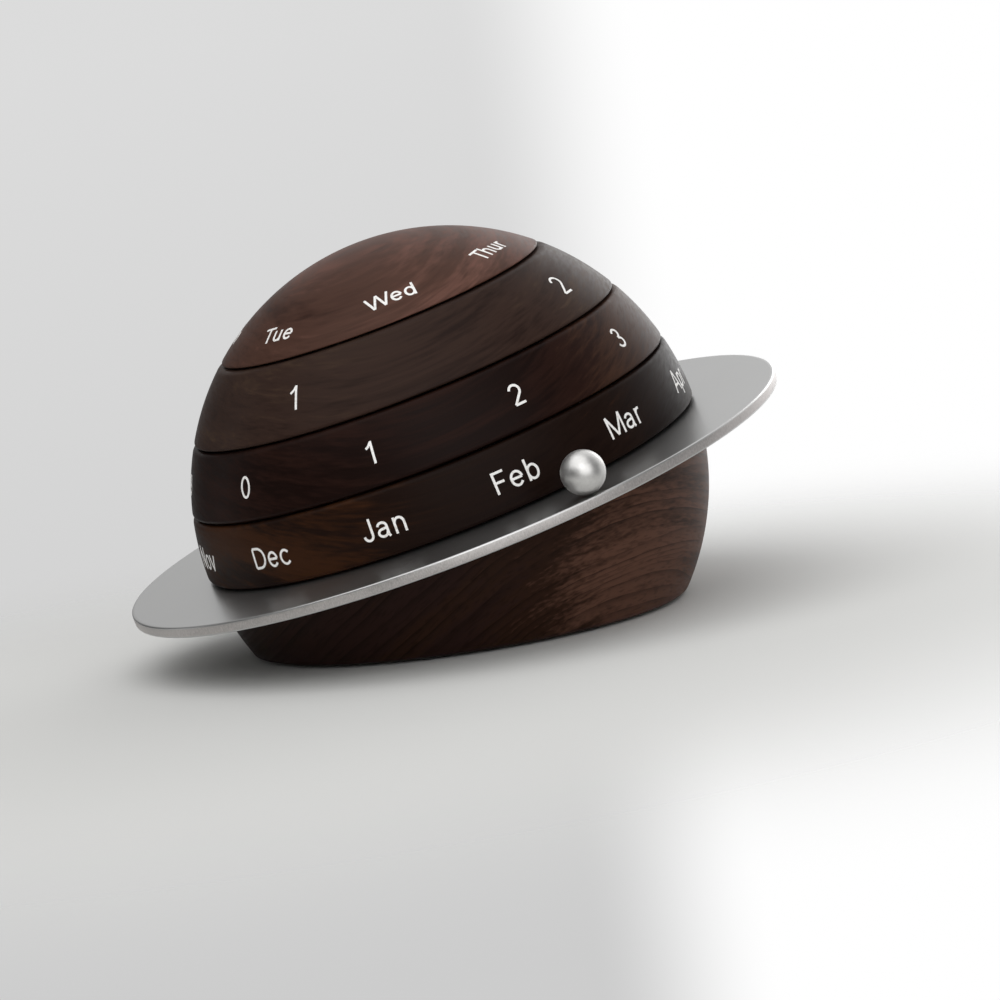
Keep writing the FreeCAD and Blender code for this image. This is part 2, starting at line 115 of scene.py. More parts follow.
side = add_node(tree, "ShaderNodeNewGeometry", {})
gone = add_node(
    tree,
    "ShaderNodeMath",
    {0: fade.outputs["Result"], 1: side.outputs["Backfacing"]},
    operation="MAXIMUM",
)
matt = add_node(tree, "ShaderNodeBsdfDiffuse", {"Color": from_hex("#d6d6d4")})
clear = add_node(tree, "ShaderNodeBsdfTransparent", {})
blend = add_node(
    tree,
    "ShaderNodeMixShader",
    {0: gone.outputs["Value"], 1: matt.outputs["BSDF"], 2: clear.outputs["BSDF"]},
)
add_node(tree, "ShaderNodeOutputMaterial", {"Surface": blend.outputs["Shader"]})
floor.data.materials.append(paint)

# The room behind the calendar is pale grey to the left and white to the right, where the wall
# turns to the daylight. The far left and the front of it are dim to lights and reflections, so
# that the dark wood keeps its depth and the metal its shading.
rightward = (0.9477, -0.3191, 0.0)
backward = (0.3191, 0.9477, 0.0)
room = bpy.data.worlds.new("studio_room")
bpy.context.scene.world = room
room.use_nodes = True
tree = room.node_tree
tree.nodes.clear()
way = add_node(tree, "ShaderNodeTexCoord", {})
across = add_node(
    tree,
    "ShaderNodeVectorMath",
    {0: way.outputs["Generated"], 1: rightward},
    operation="DOT_PRODUCT",
)
behind = add_node(
    tree,
    "ShaderNodeVectorMath",
    {0: way.outputs["Generated"], 1: backward},
    operation="DOT_PRODUCT",
)
wall = add_node(
    tree,
    "ShaderNodeMapRange",
    {"Value": across.outputs["Value"], "From Min": 0.004, "From Max": 0.048},
    interpolation_type="SMOOTHSTEP",
)
rise = add_node(tree, "ShaderNodeSeparateXYZ", {"Vector": way.outputs["Generated"]})
shade = add_node(
    tree,
    "ShaderNodeMapRange",
    {"Value": rise.outputs["Z"], "From Min": -0.22, "From Max": 0.0, "To Min": 0.90, "To Max": 1.06},
)
grey = add_node(
    tree,
    "ShaderNodeVectorMath",
    {0: from_hex("#d6d6d6")[:3], "Scale": shade.outputs["Result"]},
    operation="SCALE",
)
tone = add_node(
    tree,
    "ShaderNodeMix",
    {0: wall.outputs["Result"], 6: grey.outputs["Vector"], 7: (1.0, 1.0, 1.0, 1.0)},
    data_type="RGBA",
)
dim_left = add_node(
    tree,
    "ShaderNodeMapRange",
    {"Value": across.outputs["Value"], "From Min": -0.60, "From Max": 0.0, "To Min": 0.14, "To Max": 1.0},
    interpolation_type="SMOOTHSTEP",
)
dim_front = add_node(
    tree,
    "ShaderNodeMapRange",
    {"Value": behind.outputs["Value"], "From Min": -0.2, "From Max": 0.5, "To Min": 0.18, "To Max": 1.0},
    interpolation_type="SMOOTHSTEP",
)
dim = add_node(
    tree,
    "ShaderNodeMath",
    {0: dim_left.outputs["Result"], 1: dim_front.outputs["Result"]},
    operation="MINIMUM",
)
seen = add_node(tree, "ShaderNodeBackground", {"Color": tone.outputs[2], "Strength": 1.0})
lit = add_node(tree, "ShaderNodeBackground", {"Color": tone.outputs[2], "Strength": dim.outputs["Value"]})
rays = add_node(tree, "ShaderNodeLightPath", {})
direct = add_node(
    tree,
    "ShaderNodeMath",
    {0: rays.outputs["Is Camera Ray"], 1: rays.outputs["Is Transmission Ray"]},
    operation="MAXIMUM",
)
either = add_node(
    tree,
    "ShaderNodeMixShader",
    {0: direct.outputs["Value"], 1: lit.outputs["Background"], 2: seen.outputs["Background"]},
)
add_node(tree, "ShaderNodeOutputWorld", {"Surface": either.outputs["Shader"]})

# Four soft boxes: a wide one overhead to the left, a wide one in front, a tall weak one behind to
# the right that brightens the right edge, and a narrow weak one behind to the left.
ball_centre = Vector(frame["joints"][0]["pos_m"])
soft_boxes = [
    ("soft_box_above", (-0.42, -0.28, 1.00), 1.6, 1.5, 9.5),
    ("soft_box_front", (-0.10, -1.20, 0.45), 1.4, 1.2, 7.6),
    ("soft_box_right", (0.82, 0.76, 0.32), 0.7, 0.8, 3.0),
    ("soft_box_left", (-0.78, 0.74, 0.28), 0.22, 0.8, 0.4),
]
for name, place, wide, tall, power in soft_boxes:
    bpy.ops.object.light_add(type="AREA", location=place)
    lamp = bpy.context.object
    lamp.name = name
    lamp.rotation_euler = (Vector(place) - ball_centre).to_track_quat("Z", "Y").to_euler()
    lamp.data.shape = "RECTANGLE"
    lamp.data.size = wide
    lamp.data.size_y = tall
    lamp.data.energy = power
    lamp.visible_camera = False

# Lengths are in metres, and MM turns millimetres into them. HAIR is how far apart two places may
# lie and still count as one. dial_lean turns an upright piece onto the leaning dial axis.
MM = 0.001
HAIR = 0.02 * MM
sides = 256
dial_axis = Vector(frame["joints"][0]["axis"]).normalized()
dial_lean = (0, math.atan2(dial_axis.x, dial_axis.z), 0)


def turned_sizes(node):
    """Read a turned CAD node: its lower and upper place along the dial axis, and its radius."""
    heights = []
    radii = []
    for vertex in frame["nodes"][node].data.vertices:
        place = vertex.co - ball_centre
        height = place.dot(dial_axis)
        heights.append(height)
        radii.append((place - dial_axis * height).length)
    return min(heights), max(heights), max(radii)


def edit(piece):
    """Open a piece in edit mode with nothing selected."""
    bpy.ops.object.select_all(action="DESELECT")
    bpy.context.view_layer.objects.active = piece
    piece.select_set(True)
    bpy.ops.object.mode_set(mode="EDIT")
    bpy.ops.mesh.select_mode(type="EDGE")
    bpy.ops.mesh.select_all(action="DESELECT")


def pick(kind, wanted):
    """Select the edges or faces whose corners all pass a test of their place."""
    bpy.ops.mesh.select_mode(type=kind)
    bpy.ops.mesh.select_all(action="DESELECT")
    mesh = bmesh.from_edit_mesh(bpy.context.edit_object.data)
    for item in {"EDGE": mesh.edges, "FACE": mesh.faces}[kind]:
        if all(wanted(corner.co) for corner in item.verts):
            item.select_set(True)
    bmesh.update_edit_mesh(bpy.context.edit_object.data)


def at_rim(height, radius=None):
    """A test for places at a height on the dial axis and, if given, at a radius from it."""
    def wanted(place):
        level = abs(place.z - height) < HAIR
        return level and (radius is None or abs(place.xy.length - radius) < HAIR)
    return wanted


def extrude_along(way, distance):
    """Extrude what is selected along a direction."""
    bpy.ops.mesh.extrude_region_move(TRANSFORM_OT_translate={"value": way * distance})


def apply_modifier(piece, kind, **settings):
    """Give a piece a modifier and apply it."""
    modifier = piece.modifiers.new("shape", kind)
    for name, value in settings.items():
        setattr(modifier, name, value)
    bpy.ops.object.modifier_apply(modifier=modifier.name)


def finish_piece(piece, body, material, smooth_up_to=35):
    """Put a piece's place into its mesh, smooth it, and give it its body, slot and material."""
    bpy.ops.object.select_all(action="DESELECT")
    bpy.context.view_layer.objects.active = piece
    piece.select_set(True)
    bpy.ops.object.transform_apply(location=True, rotation=True, scale=True)
    bpy.ops.object.shade_smooth_by_angle(angle=math.radians(smooth_up_to))
    piece.data.materials.clear()
    piece.data.materials.append(material)
    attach(piece, body)
    piece.select_set(False)


def lathe_circle(name, height, radius):
    """Start a piece as a circle of points about the dial axis, open in edit mode."""
    bpy.ops.object.select_all(action="DESELECT")
    bpy.ops.mesh.primitive_circle_add(
        vertices=sides, radius=radius, location=ball_centre, rotation=dial_lean
    )
    piece = bpy.context.object
    piece.name = name
    edit(piece)
    bpy.ops.mesh.select_all(action="SELECT")
    bpy.ops.transform.translate(value=dial_axis * height)
    return piece


def on_ball(height):
    """Radius of the ball at a height along its axis."""
    return math.sqrt(ball_radius ** 2 - height ** 2)


def round_to_ball(piece, rows, closed_at=None):
    """Divide the wall of a slice into rows, close its top if asked, and swell it onto the ball."""
    bpy.ops.mesh.select_all(action="DESELECT")
    mesh = bmesh.from_edit_mesh(piece.data)
    for edge in mesh.edges:
        if len(edge.link_faces) == 2:
            edge.select_set(True)
    bpy.ops.mesh.subdivide(number_cuts=rows)
    if closed_at is not None:
        pick("EDGE", at_rim(closed_at))
        bpy.ops.mesh.edge_face_add()
        bpy.ops.mesh.poke()
    bpy.ops.object.mode_set(mode="OBJECT")
    apply_modifier(piece, "CAST", cast_type="SPHERE", factor=1, use_radius_as_size=False, size=ball_radius)
    edit(piece)


def walnut(name, hexes, fibres, heart, heart_away, rings, open_pores, painted_light_side):
    """Oiled black walnut, turned from the solid. The pattern is one block of wood with its growth
    layers round a heart, so the grain runs on through each piece. hexes are its deep, middle and
    light browns, fibres the way its grain runs, heart the way to the middle of the trunk and
    heart_away how far that is in millimetres. rings is how dark the yearly lines are and
    open_pores how dark the pores. painted_light_side is painted light: the way to the side where
    the light falls, how quickly the browns turn paler towards it and darker away from it in a
    millimetre, and by how much. Fibres and pores are about 0.1 mm wide on real walnut, and are
    drawn coarser here so that they show."""
    year = 2.2 * MM
    figure_band = 7.0 * MM
    streak_width = 1.7 * MM
    fibre_width = 0.5 * MM
    pore_width = 0.36 * MM
    bend_length = 32 * MM
    wander = 4.0 * MM
    uneven_length = 9 * MM
    years_uneven = 6.5
    run = Vector(fibres).normalized()
    outward = (run * run.dot(Vector(heart)) - Vector(heart)).normalized()
    material, tree = new_material(name)
    place = add_node(tree, "ShaderNodeTexCoord", {})
    trunk = add_node(
        tree,
        "ShaderNodeMapping",
        {
            "Vector": place.outputs["Object"],
            "Location": (0, 0, heart_away * MM),
            "Rotation": Matrix((run, outward.cross(run), outward)).to_euler(),
        },
    )
    slow = add_node(tree, "ShaderNodeMapping", {"Vector": trunk.outputs["Vector"], "Scale": (0.22, 1, 1)})
    wave = add_node(
        tree,
        "ShaderNodeTexNoise",
        {"Vector": slow.outputs["Vector"], "Scale": 1 / bend_length, "Detail": 3.0, "Roughness": 0.45},
    )
    centred = add_node(
        tree,
        "ShaderNodeVectorMath",
        {0: wave.outputs["Color"], 1: (0.5, 0.5, 0.5)},
        operation="SUBTRACT",
    )
    bent = add_node(
        tree,
        "ShaderNodeVectorMath",
        {0: centred.outputs["Vector"], 1: (wander, wander, wander), 2: trunk.outputs["Vector"]},
        operation="MULTIPLY_ADD",
    )
    flat = add_node(tree, "ShaderNodeMapping", {"Vector": bent.outputs["Vector"], "Scale": (0, 1, 1)})
    depth = add_node(tree, "ShaderNodeVectorMath", {0: flat.outputs["Vector"]}, operation="LENGTH")
    along = add_node(tree, "ShaderNodeSeparateXYZ", {"Vector": bent.outputs["Vector"]})
    angle = add_node(
        tree,
        "ShaderNodeMath",
        {0: along.outputs["Y"], 1: along.outputs["Z"]},
        operation="ARCTAN2",
    )
    round_way = add_node(
        tree,
        "ShaderNodeMath",
        {0: angle.outputs["Value"], 1: heart_away * MM},
        operation="MULTIPLY",
    )
    unrolled = add_node(
        tree,
        "ShaderNodeCombineXYZ",
        {"X": along.outputs["X"], "Y": round_way.outputs["Value"], "Z": depth.outputs["Value"]},
    )
    layer = add_node(
        tree, "ShaderNodeMapping", {"Vector": unrolled.outputs["Vector"], "Scale": (0.05, 0.08, 1)}
    )
    figure = add_node(
        tree,
        "ShaderNodeTexNoise",
        {"Vector": layer.outputs["Vector"], "Scale": 1 / figure_band, "Detail": 4.0, "Roughness": 0.5},
    )
    uneven = add_node(
        tree,
        "ShaderNodeTexNoise",
        {"Vector": layer.outputs["Vector"], "Scale": 1 / uneven_length, "Detail": 1.0},
    )
    years = add_node(
        tree,
        "ShaderNodeMath",
        {0: depth.outputs["Value"], 1: 1 / year},
        operation="MULTIPLY",
    )
    years_shifted = add_node(
        tree,
        "ShaderNodeMath",
        {0: uneven.outputs["Fac"], 1: years_uneven, 2: years.outputs["Value"]},
        operation="MULTIPLY_ADD",
    )
    season = add_node(tree, "ShaderNodeMath", {0: years_shifted.outputs["Value"]}, operation="FRACT")
    late = add_node(tree, "ShaderNodeMath", {0: season.outputs["Value"], 1: 3.5}, operation="POWER")
    drawn = add_node(
        tree, "ShaderNodeMapping", {"Vector": unrolled.outputs["Vector"], "Scale": (0.05, 0.16, 1)}
    )
    streak = add_node(
        tree,
        "ShaderNodeTexNoise",
        {"Vector": drawn.outputs["Vector"], "Scale": 1 / streak_width, "Detail": 2.0},
    )
    stretched = add_node(
        tree, "ShaderNodeMapping", {"Vector": unrolled.outputs["Vector"], "Scale": (0.02, 0.3, 1)}
    )
    fibre = add_node(
        tree,
        "ShaderNodeTexNoise",
        {"Vector": stretched.outputs["Vector"], "Scale": 1 / fibre_width, "Detail": 2.0},
    )
    short = add_node(
        tree, "ShaderNodeMapping", {"Vector": unrolled.outputs["Vector"], "Scale": (0.045, 0.2, 1)}
    )
    pore_noise = add_node(
        tree,
        "ShaderNodeTexNoise",
        {"Vector": short.outputs["Vector"], "Scale": 1 / pore_width, "Detail": 0.0},
    )
    scarce = add_node(
        tree,
        "ShaderNodeMath",
        {0: season.outputs["Value"], 1: -0.07, 2: pore_noise.outputs["Fac"]},
        operation="MULTIPLY_ADD",
    )
    pores = add_node(
        tree,
        "ShaderNodeMapRange",
        {"Value": scarce.outputs["Value"], "From Min": 0.54, "From Max": 0.68},
        interpolation_type="SMOOTHSTEP",
    )
    # Painted light: the browns turn paler towards the side where the light falls, and darker away from it.
    toward_lit_side = add_node(
        tree,
        "ShaderNodeVectorMath",
        {0: place.outputs["Object"], 1: [share / MM for share in painted_light_side[0]]},
        operation="DOT_PRODUCT",
    )
    painted_side_light = add_node(
        tree,
        "ShaderNodeMapRange",
        {
            "Value": toward_lit_side.outputs["Value"],
            "From Min": -0.3,
            "From Max": 0.6,
            "To Min": -painted_light_side[1] / 2,
            "To Max": painted_light_side[1] / 2,
        },
        interpolation_type="SMOOTHSTEP",
    )
    fine = add_node(
        tree,
        "ShaderNodeMath",
        {0: fibre.outputs["Fac"], 1: 0.36, 2: figure.outputs["Fac"]},
        operation="MULTIPLY_ADD",
    )
    coarse = add_node(
        tree,
        "ShaderNodeMath",
        {0: streak.outputs["Fac"], 1: 0.36, 2: fine.outputs["Value"]},
        operation="MULTIPLY_ADD",
    )
    shifted = add_node(
        tree,
        "ShaderNodeMath",
        {0: coarse.outputs["Value"], 1: painted_side_light.outputs["Result"]},
        operation="ADD",
    )
    tone = add_node(
        tree,
        "ShaderNodeMapRange",
        {"Value": shifted.outputs["Value"], "From Min": 0.56, "From Max": 1.16},
    )
    brown = add_node(tree, "ShaderNodeValToRGB", {"Fac": tone.outputs["Result"]})
    brown.color_ramp.interpolation = "EASE"
    stops = brown.color_ramp.elements
    stops[0].position = 0.10
    stops[0].color = from_hex(hexes[0])
    stops[1].position = 0.92
    stops[1].color = from_hex(hexes[2])
    stops.new(0.50).color = from_hex(hexes[1])
    firm = add_node(
        tree,
        "ShaderNodeMapRange",
        {
            "Value": streak.outputs["Fac"],
            "From Min": 0.35,
            "From Max": 0.65,
            "To Min": rings * 0.3,
            "To Max": rings,
        },
    )
    line = add_node(
        tree,
        "ShaderNodeMath",
        {0: late.outputs["Value"], 1: firm.outputs["Result"]},
        operation="MULTIPLY",
    )
    ringed = add_node(
        tree,
        "ShaderNodeMix",
        {0: line.outputs["Value"], 6: brown.outputs["Color"], 7: from_hex("#120905")},
        data_type="RGBA",
    )
    speck = add_node(
        tree,
        "ShaderNodeMath",
        {0: pores.outputs["Result"], 1: open_pores},
        operation="MULTIPLY",
    )
    pored = add_node(
        tree,
        "ShaderNodeMix",
        {0: speck.outputs["Value"], 6: ringed.outputs[2], 7: from_hex("#0e0603")},
        data_type="RGBA",
    )
    rough = add_node(
        tree,
        "ShaderNodeMapRange",
        {"Value": fibre.outputs["Fac"], "From Min": 0.3, "From Max": 0.7, "To Min": 0.38, "To Max": 0.48},
    )
    sunk = add_node(
        tree,
        "ShaderNodeMath",
        {0: pores.outputs["Result"], 1: -0.6, 2: fibre.outputs["Fac"]},
        operation="MULTIPLY_ADD",
    )
    bump = add_node(
        tree,
        "ShaderNodeBump",
        {"Strength": 0.35, "Distance": 0.02 * MM, "Height": sunk.outputs["Value"]},
    )
    wood = add_node(
        tree,
        "ShaderNodeBsdfPrincipled",
        {
            "Base Color": pored.outputs[2],
            "Roughness": rough.outputs["Result"],
            "IOR": 1.5,
            "Specular IOR Level": 0.06,
            "Normal": bump.outputs["Normal"],
        },
    )
    add_node(tree, "ShaderNodeOutputMaterial", {"Surface": wood.outputs["BSDF"]})
    return material


# The base is the lower part of the walnut ball. It is turned with a boss that centres the disc
# and a stepped bore for the spindle, sawn level below, and recessed for its felt pad.
ball_radius = turned_sizes("weekday_cap")[1]
disc_low, disc_top, disc_radius = turned_sizes("orbit_disc")
sawn_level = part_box("base_body")[0].z
pad_low, pad_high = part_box("base_pad")
boss_radius = 30.0 * MM
flange_depth = 3.4 * MM
flange_recess = 15.1 * MM
spigot_depth = 8.05 * MM
spigot_bore = 3.05 * MM
pad_gap = 0.2 * MM
foot_round = 1.0 * MM
foot_border = 0.5 * MM
rim_round = 0.75 * MM
upward = Vector((0, 0, 1))
saw_centre = Vector((0, 0, sawn_level))
seat_centre = ball_centre + dial_axis * disc_low
saw_radius = math.sqrt(ball_radius ** 2 - (ball_centre.z - sawn_level) ** 2)

base = lathe_circle("base_turned", disc_low, on_ball(disc_low))
bpy.ops.mesh.extrude_region_move()
bpy.ops.transform.translate(value=saw_centre - seat_centre)
bpy.ops.transform.rotate(value=dial_lean[1], orient_axis="Y", center_override=saw_centre)
share = saw_radius / on_ball(disc_low)
bpy.ops.transform.resize(value=(share, share, share), center_override=saw_centre)
round_to_ball(base, 30)
pick("EDGE", at_rim(disc_low))
bpy.ops.mesh.edge_face_add()
bpy.ops.mesh.inset(thickness=on_ball(disc_low) - boss_radius)
extrude_along(dial_axis, disc_top - disc_low)
bpy.ops.mesh.inset(thickness=boss_radius - flange_recess)
extrude_along(dial_axis, -flange_depth)
bpy.ops.mesh.inset(thickness=flange_recess - spigot_bore)
extrude_along(dial_axis, -spigot_depth)
pick("EDGE", lambda place: abs((base.matrix_world @ place).z - sawn_level) < HAIR)
bpy.ops.mesh.edge_face_add()
bpy.ops.mesh.bevel(offset=foot_round, segments=5, affect="EDGES")
pick("FACE", lambda place: abs((base.matrix_world @ place).z - sawn_level) < HAIR)
bpy.ops.mesh.inset(thickness=foot_border)
bpy.ops.mesh.inset(thickness=saw_radius - foot_round - foot_border - pad_high.x - pad_gap)
extrude_along(upward, pad_high.z - sawn_level)
bpy.ops.object.mode_set(mode="OBJECT")

# Four countersunk holes take the screws that hold the disc, and three those of the spindle's flange.
screw_top = disc_top
screw_circle = 36.0 * MM
screw_bore = 1.52 * MM
screw_sink = 1.4 * MM
screw_reach = 12.02 * MM
flange_screw_top = disc_top - 0.4 * MM
flange_screw_circle = 10.0 * MM


def drill_screw_holes(piece, circle, top, count):
    """Drill and countersink a circle of screw holes, square to the dial axis."""
    straight = screw_reach - screw_sink
    for hole in range(count):
        turn = Matrix.Rotation(2 * math.pi * hole / count, 3, "Z")
        arm = Matrix.Rotation(dial_lean[1], 3, "Y") @ turn @ Vector((circle, 0, 0))
        middle = ball_centre + arm + dial_axis * (top - screw_sink - straight / 2)
        bpy.ops.object.select_all(action="DESELECT")
        bpy.ops.mesh.primitive_cylinder_add(
            vertices=32, radius=screw_bore, depth=straight, location=middle, rotation=dial_lean
        )
        drill = bpy.context.object
        edit(drill)
        pick("FACE", lambda place: abs(place.z - straight / 2) < HAIR)
        extrude_along(dial_axis, screw_sink)
        wider = (screw_bore + screw_sink) / screw_bore
        sink_top = ball_centre + arm + dial_axis * top
        bpy.ops.transform.resize(value=(wider, wider, wider), center_override=sink_top)
        extrude_along(dial_axis, screw_sink)
        bpy.ops.object.mode_set(mode="OBJECT")
        bpy.context.view_layer.objects.active = piece
        apply_modifier(piece, "BOOLEAN", operation="DIFFERENCE", solver="EXACT", object=drill)
        bpy.data.objects.remove(drill)


drill_screw_holes(base, screw_circle, screw_top, 4)
drill_screw_holes(base, flange_screw_circle, flange_screw_top, 3)
# The base's browns are painted paler towards the right, where the light falls, and darker to the left: a
# painted lit side.
walnut_base = walnut(
    "oiled_walnut_base",
    hexes=("#2b1b17", "#2f1d14", "#5c4034"),
    fibres=(-0.103, -0.974, 0.179),
    heart=(0.405, -0.243, -0.884),
    heart_away=77,
    rings=0.80,
    open_pores=0.26,
    painted_light_side=((0.020, -0.003, 0.0), 0.40),
)
finish_piece(base, "root", walnut_base)
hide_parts("base_body")

# The foot is a round pad of pressed wool felt, die-cut and glued into the sawn underside. Its
# lower rim is worn soft.
pad_thickness = pad_high.z - pad_low.z
worn_rim = 0.45 * MM
pad_border = 0.6 * MM
nap_size = 0.9 * MM
clump_size = 6 * MM
bpy.ops.object.select_all(action="DESELECT")
bpy.ops.mesh.primitive_circle_add(vertices=192, radius=pad_high.x, fill_type="NGON")
pad = bpy.context.object
pad.name = "felt_foot"
edit(pad)
bpy.ops.mesh.select_all(action="SELECT")
extrude_along(upward, pad_thickness)
bpy.ops.mesh.select_all(action="SELECT")
bpy.ops.mesh.normals_make_consistent(inside=False)
pick("EDGE", lambda place: abs(place.z) < HAIR)
bpy.ops.mesh.bevel(offset=worn_rim, segments=4, affect="EDGES")
pick("FACE", lambda place: abs(place.z) < HAIR)
bpy.ops.mesh.inset(thickness=pad_border)
bpy.ops.object.mode_set(mode="OBJECT")
felt, tree = new_material("pressed_wool_felt")
place = add_node(tree, "ShaderNodeTexCoord", {})
# Matted wool: a cloudy nap of tufts under 1 mm across, in clumps of about 6 mm.
nap = add_node(
    tree,
    "ShaderNodeTexNoise",
    {"Vector": place.outputs["Object"], "Scale": 1 / nap_size, "Detail": 4.0, "Distortion": 1.5},
)
clump = add_node(
    tree,
    "ShaderNodeTexNoise",
    {"Vector": place.outputs["Object"], "Scale": 1 / clump_size, "Detail": 2.0},
)
mottle = add_node(
    tree,
    "ShaderNodeMath",
    {0: clump.outputs["Fac"], 1: 0.5, 2: nap.outputs["Fac"]},
    operation="MULTIPLY_ADD",
)
wool = add_node(tree, "ShaderNodeValToRGB", {"Fac": mottle.outputs["Value"]})
wool.color_ramp.elements[0].position = 0.45
wool.color_ramp.elements[0].color = from_hex("#1b1918")
wool.color_ramp.elements[1].position = 0.95
wool.color_ramp.elements[1].color = from_hex("#3a3634")
bump = add_node(
    tree, "ShaderNodeBump", {"Strength": 0.8, "Distance": 0.15 * MM, "Height": nap.outputs["Fac"]}
)
cloth = add_node(
    tree,
    "ShaderNodeBsdfPrincipled",
    {
        "Base Color": wool.outputs["Color"],
        "Roughness": 0.95,
        "Sheen Weight": 0.35,
        "Specular IOR Level": 0.2,
        "Normal": bump.outputs["Normal"],
    },
)
add_node(tree, "ShaderNodeOutputMaterial", {"Surface": cloth.outputs["BSDF"]})
finish_piece(pad, "root", felt)
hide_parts("base_pad")


def steel(name, code, rough, grit, depth, stretch=(1, 1, 1), spread=0.06, tint=0.08):
    """Bare or plated metal. grit is the size of its finest marks in metres and depth how deep they go.
    stretch draws the marks out in a direction, as a cut, a brush or a lathe does, and spread and
    tint are how much gloss and colour change between them."""
    cloud_size = 14 * MM
    material, tree = new_material(name)
    place = add_node(tree, "ShaderNodeTexCoord", {})
    upright = add_node(
        tree,
        "ShaderNodeMapping",
        {"Vector": place.outputs["Object"], "Rotation": (0, -dial_lean[1], 0)},
    )
    drawn = add_node(tree, "ShaderNodeMapping", {"Vector": upright.outputs["Vector"], "Scale": stretch})
    marks = add_node(
        tree,
        "ShaderNodeTexNoise",
        {"Vector": drawn.outputs["Vector"], "Scale": 1 / grit, "Detail": 3.0, "Roughness": 0.6},
    )
    cloud = add_node(
        tree,
        "ShaderNodeTexNoise",
        {"Vector": place.outputs["Object"], "Scale": 1 / cloud_size, "Detail": 2.0},
    )
    mixed = add_node(
        tree,
        "ShaderNodeMath",
        {0: cloud.outputs["Fac"], 1: 0.6, 2: marks.outputs["Fac"]},
        operation="MULTIPLY_ADD",
    )
    gloss = add_node(
        tree,
        "ShaderNodeMapRange",
        {
            "Value": mixed.outputs["Value"],
            "From Min": 0.5,
            "From Max": 1.1,
            "To Min": rough - spread,
            "To Max": rough + spread,
        },
    )
    colour = from_hex(code)
    shade = add_node(
        tree,
        "ShaderNodeMapRange",
        {
            "Value": mixed.outputs["Value"],
            "From Min": 0.5,
            "From Max": 1.1,
            "To Min": 1 - tint,
            "To Max": 1 + tint,
        },
    )
    metal_colour = add_node(
        tree,
        "ShaderNodeVectorMath",
        {0: colour[:3], "Scale": shade.outputs["Result"]},
        operation="SCALE",
    )
    bump = add_node(
        tree, "ShaderNodeBump", {"Strength": 0.5, "Distance": depth, "Height": marks.outputs["Fac"]}
    )
    metal = add_node(
        tree,
        "ShaderNodeBsdfPrincipled",
        {
            "Base Color": metal_colour.outputs["Vector"],
            "Metallic": 1.0,
            "Roughness": gloss.outputs["Result"],
            "Normal": bump.outputs["Normal"],
        },
    )
    add_node(tree, "ShaderNodeOutputMaterial", {"Surface": metal.outputs["BSDF"]})
    return material


# The disc is laser-cut from 2 mm stainless sheet. Its faces are bead-blasted to an even satin,
# its edge keeps the fine upright lines of the cut, and its rims are broken with a file.
disc_bore = 30.1 * MM
disc_rim_round = 0.3 * MM
disc_border = 0.4 * MM
disc = lathe_circle("orbit_plate", disc_low, disc_bore)
bpy.ops.mesh.extrude_region_move()
share = disc_radius / disc_bore
bpy.ops.transform.resize(value=(share, share, share), center_override=seat_centre)
bpy.ops.mesh.select_all(action="SELECT")
extrude_along(dial_axis, disc_top - disc_low)
bpy.ops.mesh.select_all(action="SELECT")
bpy.ops.mesh.normals_make_consistent(inside=False)
pick("EDGE", at_rim(disc_low, disc_radius))
bpy.ops.mesh.bevel(offset=disc_rim_round, segments=3, affect="EDGES")
pick("EDGE", at_rim(disc_top, disc_radius))
bpy.ops.mesh.bevel(offset=disc_rim_round, segments=3, affect="EDGES")
for face_height in (disc_low, disc_top):
    pick("FACE", at_rim(face_height))
    bpy.ops.mesh.inset(thickness=disc_border)
bpy.ops.object.mode_set(mode="OBJECT")
drill_screw_holes(disc, screw_circle, screw_top, 4)
# Bead blasting: fine dents, drawn 0.3 mm across so that they just show, give an even grey satin.
blasted = steel(
    "bead_blasted_steel",
    "#c3c3c2",
    rough=0.31,
    grit=0.30 * MM,
    depth=0.001 * MM,
    spread=0.02,
    tint=0.04,
)
finish_piece(disc, "root", blasted, smooth_up_to=40)
# The cut edge: upright striations about 0.2 mm apart catch the light as short bright ticks.
cut_edge = steel(
    "laser_cut_steel_edge",
    "#bcb8b6",
    rough=0.50,
    grit=0.20 * MM,
    depth=0.02 * MM,
    stretch=(1, 1, 0.45),
    spread=0.12,
    tint=0.30,
)
disc.data.materials.append(cut_edge)
for face in disc.data.polygons:
    arm = face.center - ball_centre
    radius = (arm - dial_axis * arm.dot(dial_axis)).length
    if radius > disc_radius - disc_rim_round * 0.05:
        face.material_index = 1
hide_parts("orbit_disc")

# Inside the ball, zinc-plated countersunk screws hold the disc and the spindle. The spindle is
# turned steel, and on it stand four shielded bearings, their spacers and the snap ring.
# Zinc plating: a fine cool sparkle. Turning: faint rings round the spindle, 0.2 mm apart.
inner_finishes = [
    (
        ["disc_screws", "flange_screws"],
        steel("zinc_plated_steel", "#c3c4c0", rough=0.34, grit=0.4 * MM, depth=0.004 * MM),
    ),
    (
        ["spindle"],
        steel(
            "turned_steel",
            "#bdbdbb",
            rough=0.28,
            grit=0.2 * MM,
            depth=0.006 * MM,
            stretch=(0.02, 0.02, 1),
        ),
    ),
    (
        [
            f"{dial}_{race}_race"
            for dial in ("month", "units", "tens", "weekday")
            for race in ("inner", "outer")
        ],
        steel(
            "ground_bearing_steel",
            "#c9c9c8",
            rough=0.18,
            grit=0.15 * MM,
            depth=0.002 * MM,
            stretch=(0.05, 0.05, 1),
            tint=0.04,
        ),
    ),
    (
        [f"{dial}_spacer" for dial in ("units", "tens", "weekday")],
        steel(
            "faced_steel_tube",
            "#b5b5b3",
            rough=0.32,
            grit=0.25 * MM,
            depth=0.005 * MM,
            stretch=(0.02, 0.02, 1),
        ),
    ),
    (
        ["snap_ring"],
        steel("phosphated_spring_steel", "#4a4a4d", rough=0.5, grit=0.3 * MM, depth=0.01 * MM, tint=0.2),
    ),
]
for names, finish in inner_finishes:
    for name in names:
        node = frame["nodes"][name]
        node.data.materials.clear()
        node.data.materials.append(finish)

